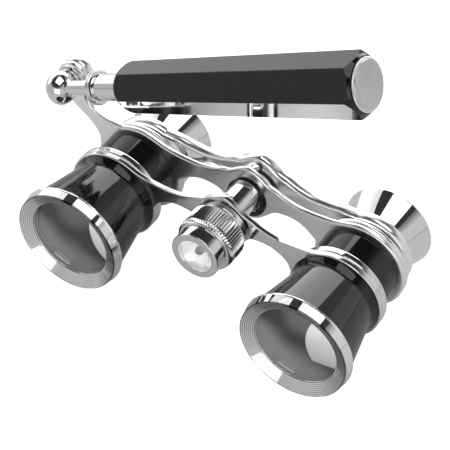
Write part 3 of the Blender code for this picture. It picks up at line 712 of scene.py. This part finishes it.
knob = [
    (4.1, 13.65), (7.5, 13.65, 0.1), (7.85, 13.75, 0), (PLAIN_RADIUS, 13.95, 0), (8.3, 14.4, 0),
    (8.5, 15.0, 0), (8.6, 16.0, 0), (8.6, 20.8, 0), (8.45, 21.15, 0), (PLAIN_RADIUS, 21.35, 0.1),
    (7.0, 21.4, 0.1), (4.1, 21.4),
]
lathe("knob_sleeve", knob, COLUMN, "knob", "focus_knob", RIBS * 8, 0.05, rib, smooth=32)
screw = [
    (0, 20.2), (3.0, 20.2), (3.0, 21.5), (3.4, 21.5), (3.4, 22.3), (2.0, 22.3), (2.0, 42.5),
    (0, 42.5),
]
lathe("screw", screw, COLUMN, "knob", "focus_screw", 64)
bezel = [
    (5.1, 9.35, 0.15), (7.0, 9.3, 0.2), (7.2, 9.55, 0.1), (7.2, 13.6, 0.08), (5.9, 13.6),
    (5.9, 9.95), (5.1, 9.95),
]
lathe("lamp_head", bezel, COLUMN, "lamp", "lamp_bezel", 144)
lathe("lamp_window", lens_outline(5.55, 10.05, 10.75, 0.35, 0.0), COLUMN, "lamp", "lamp_lens", 96)
bowl = [
    (5.55, 10.9, 0), (5.55, 13.4, 0), (1.5, 13.4, 0), (1.5, 13.1, 0), (2.4, 12.85, 0),
    (3.3, 12.4, 0), (4.1, 11.8, 0), (4.7, 11.2, 0), (5.0, 10.9, 0),
]
lathe("lamp_bowl", bowl, COLUMN, "lamp", "lamp_reflector", 96)
dome = [(0, 11.35, 0), (0.5, 11.4, 0), (0.95, 11.62, 0), (1.2, 12.0, 0), (1.25, 12.5, 0),
        (1.25, 13.5, 0), (0, 13.5, 0)]
lathe("lamp_emitter", dome, COLUMN, "lamp", "lamp_led", 48)


# ---------------------------------------------------------------- hinge and handle

for name, node, radius, front, rear in (
    ("disc_inner", "inner_washer", 3.7, 3.62, 4.3), ("disc_outer", "outer_washer", 4.4, 4.36, 5.2),
):
    lathe(name, sleeve(1.5, radius, front, rear, 0.2), HINGE_PLACE, "glasses", node, 96)
pin = [(0, -1.4), (1.45, -1.4), (1.45, 9.85), (3.0, 9.85, 0.15), (3.0, 10.4, 0.3),
       (2.3, 10.85, 0.4), (0, 10.9)]
lathe("pin", pin, HINGE_PLACE, "glasses", "hinge_pin", 72)

# The ball's profile has a point every few degrees, as far as the neck.
BALL, BALL_HALF_LENGTH, NECK = 4.85, 3.8, 2.3
BALL_STEP = 3
knuckle = [(0, -BALL_HALF_LENGTH, 0)]
knuckle += [
    (BALL * math.sin(a), -BALL_HALF_LENGTH * math.cos(a), 0)
    for a in (math.radians(BALL_STEP * i) for i in range(1, 53))
    if a < math.pi / 2 or BALL * math.sin(a) > NECK
]
knuckle += [
    (2.1, 4.0, 0.6), (2.15, 12.4, 0.5), (2.6, 13.15, 0.4), (4.7, 13.3, 0.1), (4.9, 13.45, 0.1),
    (4.9, 13.85, 0.1), (4.5, 14.0, 0.08), (4.5, 14.2, 0.08), (4.85, 14.35, 0.1),
    (4.85, 14.85, 0.15), (4.2, 15.05, 0.2), (3.1, 15.1, 0), (3.0, 21.0, 0), (0, 21.0, 0),
]
ball = lathe("knuckle", knuckle, HANDLE_PLACE, "handle", "handle_knuckle", 128)

# The ball is cut flat where it meets the hinge's discs.
BALL_FLAT = 3.55
cutter = add_object("ball_cut", lathe_mesh("ball_cut", sleeve(0, 8, BALL_FLAT, 9), 48, 0), HINGE_PLACE)
cut = ball.modifiers.new("flat", "BOOLEAN")
cut.solver = "EXACT"
cut.object = cutter
ball.modifiers.move(1, 0)
flat_mesh = evaluated_mesh(ball)
ball.modifiers.clear()
ball.data = flat_mesh
bpy.data.objects.remove(cutter)

TUBE_END = 76.0
tube = [(3.08, 15.1), (3.78, 15.1, 0.1), (3.78, TUBE_END), (3.08, TUBE_END)]
lathe("tube", tube, HANDLE_PLACE, "handle", "handle_tube", 120)
lathe("stop", sleeve(4.0, 4.9, TUBE_END - 4, TUBE_END), HANDLE_PLACE, "handle", "tube_stop", 64)
lathe("bush", sleeve(4.0, 4.9, 26.5, 36.5), HANDLE_PLACE, "grip", "grip_bush", 64)

GRIP_START, GRIP_END = 24.5, 102.0
START_RADIUS, END_RADIUS = 7.06, 8.69
GRIP_BORE, SOCKET_RADIUS, SOCKET_DEPTH = 3.95, 5.8, 8


def grip_apothem(y):
    """How far the grip's flats are from its axis at y."""
    share = (y - GRIP_START) / (GRIP_END - GRIP_START)
    return (START_RADIUS + (END_RADIUS - START_RADIUS) * share) * math.cos(math.pi / 6)


def grip_prism():
    """The grip's six flats, with narrow bevels between them, longer than the grip at both ends."""
    overrun, bevel = 2, 0.14
    work = bmesh.new()
    rings = []
    for y in (GRIP_START - overrun, GRIP_END + overrun):
        flat = grip_apothem(y)
        half = flat * math.tan(math.pi / 6) - bevel
        ring = []
        for angle in GRIP_FLATS:
            out = Vector((math.sin(math.radians(angle)), math.cos(math.radians(angle))))
            along = Vector((out.y, -out.x))
            for sign in (-1, 1):
                p = out * flat + along * half * sign
                ring.append(work.verts.new((p.x * MM, y * MM, p.y * MM)))
        rings.append(ring)
    first, last = rings
    for i in range(len(first)):
        j = (i + 1) % len(first)
        work.faces.new((first[i], first[j], last[j], last[i]))
    work.faces.new(first)
    work.faces.new(last[::-1])
    return mesh_from("grip_prism", work)


def grip_turning():
    """What a lathe leaves of the grip: a collar, a round shoulder, a nut chamfer and a bore."""
    nose, tail, clear_radius = GRIP_START, GRIP_END, 12
    shoulder_radius, shoulder_height, shoulder_length, steps = 6.15, 1.2, 5.0, 16
    shoulder_start = nose + 0.95
    outline = [
        (GRIP_BORE, nose + 0.1, 0.1), (5.35, nose, 0), (5.6, nose + 0.12, 0), (5.7, nose + 0.3, 0),
        (5.7, nose + 0.6, 0), (5.62, nose + 0.72, 0), (5.95, nose + 0.76, 0),
        (shoulder_radius, shoulder_start, 0),
    ]
    for i in range(1, steps + 1):
        t = i / steps
        rise = shoulder_height * math.sqrt(1 - (1 - t) ** 2)
        outline.append((shoulder_radius + rise, shoulder_start + shoulder_length * t, 0))
    outline += [
        (clear_radius, nose + 12, 0), (clear_radius, tail - 4.53, 0), (7.62, tail - 0.72, 0.1),
        (7.3, tail - 0.3, 0.1), (7.05, tail, 0.1), (SOCKET_RADIUS, tail, 0),
        (SOCKET_RADIUS, tail - SOCKET_DEPTH, 0), (GRIP_BORE, tail - SOCKET_DEPTH, 0),
    ]
    return lathe_mesh("grip_turning", outline, 180, 0)


def common_mesh(first, second):
    """The solid that two meshes share."""
    one, two = add_object("one", first), add_object("two", second)
    step = one.modifiers.new("step", "BOOLEAN")
    step.operation = "INTERSECT"
    step.solver = "EXACT"
    step.object = two
    made = evaluated_mesh(one)
    bpy.data.objects.remove(one)
    bpy.data.objects.remove(two)
    return made


grip_mesh = common_mesh(grip_prism(), grip_turning())
grip = finish_piece("grip", grip_mesh, HANDLE_PLACE, "grip", "handle_grip", GRIP, smooth=18)
edges = grip.modifiers.new("edges", "BEVEL")
edges.width = 0.1 * MM
edges.segments = 3
edges.limit_method = "ANGLE"
edges.angle_limit = math.radians(16)
edges.harden_normals = True
grip.modifiers.move(1, 0)

BEADS = 72
BEAD_DEPTH = 0.12
BEAD_FOOT = 6.55
BEADS_END, CAP_END = 102.7, 102.95


def beaded(angle, radius):
    """A ring of fine beads."""
    if radius < BEAD_FOOT:
        return radius
    return radius - BEAD_DEPTH * (0.5 + 0.5 * math.cos(angle * BEADS))


bead_ring = [
    (5.6, 102.05), (6.5, 102.05, 0), (6.8, 102.12, 0), (6.9, 102.3, 0), (6.86, 102.48, 0),
    (6.7, 102.62, 0), (6.5, BEADS_END, 0), (5.6, BEADS_END),
]
lathe("bead_ring", bead_ring, HANDLE_PLACE, "grip", "grip_end_ring", BEADS * 8, 0, beaded, smooth=50)
cap = [
    (0, CAP_END, 0), (6.05, CAP_END, 0.05), (6.25, 102.87, 0.06), (6.3, 102.76, 0),
    (6.3, BEADS_END, 0), (5.3, BEADS_END, 0), (5.3, 94.2, 0), (0, 94.2, 0),
]
lathe("end_cap", cap, HANDLE_PLACE, "grip", "grip_end_cap", 144, material=CAP_STEEL)


# ---------------------------------------------------------------- stage: camera, floor, lights

# The camera's place, in millimetres, and its own axes, fitted so that the rims, the knob and the
# eyecups fall where the photo has them.
CAMERA_PLACE = Vector((160.75, -254.12, 325.21))
CAMERA_RIGHT = (0.85192, 0.52292, 0.02816)
CAMERA_UP = (-0.38565, 0.59008, 0.70928)
CAMERA_BACK = (0.35428, -0.61511, 0.70436)
camera_data = bpy.data.cameras.new("camera")
camera_data.sensor_width = 36
camera_data.lens = 133.594
camera_data.clip_start = 0.01
camera_turn = Matrix((CAMERA_RIGHT, CAMERA_UP, CAMERA_BACK)).transposed().to_4x4()
bpy.context.scene.camera = add_object(
    "camera", camera_data, Matrix.Translation(ORIGIN + CAMERA_PLACE * MM) @ camera_turn,
)
bpy.context.scene.view_settings.view_transform = "Standard"


def pale_floor():
    """A matt floor that the camera sees as almost white."""
    n = Nodes("floor")
    seen = n.add("ShaderNodeLightPath").outputs["Is Camera Ray"]
    return n.set(
        Base_Color=n.grey(n.remap(n.noise(30, 2), 0.3, 0.7, 0.74, 0.76)), Roughness=0.9,
        Specular_IOR_Level=0.0, Emission_Color=(1, 1, 1, 1),
        Emission_Strength=n.math("MULTIPLY", seen, 0.97),
    )


FLOOR_HALF = 3.0
floor_mesh = bpy.data.meshes.new("floor")
floor_corners = [(x * FLOOR_HALF, y * FLOOR_HALF, 0) for x, y in ((-1, -1), (1, -1), (1, 1), (-1, 1))]
floor_mesh.from_pydata(floor_corners, [], [(0, 1, 2, 3)])
floor_mesh.materials.append(pale_floor())
floor = add_object("floor", floor_mesh)


def studio_world():
    """White to the camera. To everything else it is grey low down and almost black overhead."""
    world = bpy.data.worlds.new("world")
    world.use_nodes = True
    tree = world.node_tree
    ray = tree.nodes.new("ShaderNodeLightPath")
    direction = tree.nodes.new("ShaderNodeTexCoord")
    split = tree.nodes.new("ShaderNodeSeparateXYZ")
    shade = tree.nodes.new("ShaderNodeMapRange")
    for key, value in (("From Min", 0.45), ("From Max", 0.70), ("To Min", 0.52), ("To Max", 0.04)):
        shade.inputs[key].default_value = value
    mix = tree.nodes.new("ShaderNodeMix")
    mix.data_type = "RGBA"
    factor, unseen, seen = mix.inputs[0], mix.inputs[6], mix.inputs[7]
    seen.default_value = (0.98, 0.98, 0.98, 1)
    tree.links.new(direction.outputs["Generated"], split.inputs[0])
    tree.links.new(split.outputs["Z"], shade.inputs["Value"])
    tree.links.new(ray.outputs["Is Camera Ray"], factor)
    tree.links.new(shade.outputs[0], unseen)
    tree.links.new(mix.outputs[2], tree.nodes["Background"].inputs["Color"])
    return world


bpy.context.scene.world = studio_world()


def panel(name, centre, towards, across, width, height, radiance):
    """A soft box: a rectangle that shines towards a point, with its width along the direction
    across. Places and sizes are in metres."""
    data = bpy.data.lights.new(name, "AREA")
    data.shape = "RECTANGLE"
    data.size, data.size_y = width, height
    data.energy = radiance * math.pi * width * height
    back_axis = (Vector(centre) - Vector(towards)).normalized()
    across = Vector(across)
    side_axis = (across - back_axis * across.dot(back_axis)).normalized()
    turn = Matrix((side_axis, back_axis.cross(side_axis), back_axis)).transposed().to_4x4()
    light = add_object(name, data, Matrix.Translation(ORIGIN + Vector(centre)) @ turn)
    light.visible_camera = False


panel("overhead", (0.226, 0.075, 1.0), (0.226, 0.075, 0), (1, 0, 0), 0.86, 0.85, 1.7)

# Two boxes side by side in one plane, behind on the left. Their shared upper edge is a straight line
# through these directions, and the left one goes on past the first of them.
FACING = Vector((-0.62, 0.72, 0.30)).normalized()
AWAY, REACH, FURTHER_LEFT = 1.1, 1.9, 1.7
corners = [Vector(d) for d in ((-0.58, 0.22, 0.79), (-0.30, 0.60, 0.74), (0.16, 0.87, 0.47))]
corners = [d * AWAY / d.dot(FACING) for d in corners]
run = (corners[2] - corners[0]).normalized()
inward = run.cross(FACING).normalized()
if inward.dot(FACING * AWAY - corners[0]) < 0:
    inward = -inward
corners[0] = corners[0] - run * FURTHER_LEFT
for name, first, last, radiance in (
    ("left", corners[0], corners[1], 0.9), ("rear", corners[1], corners[2], 2.7),
):
    width = (last - first).dot(run)
    centre = first + run * width / 2 + inward * REACH / 2
    panel(name, centre, centre - FACING, run, width, REACH, radiance)
panel("front", (0.58, -1.1, 0.42), (0, 0, 0), (1, 0.33, 0), 1.2, 0.85, 0.75)
panel("right_near", (1.0, 0.3, 0.5), (0, 0.3, 0.5), (0, 1, 0), 1.8, 1.0, 0.12)
panel("right_far", (1.0, 2.0, 0.5), (0, 2.0, 0.5), (0, 1, 0), 1.6, 1.0, 0.3)
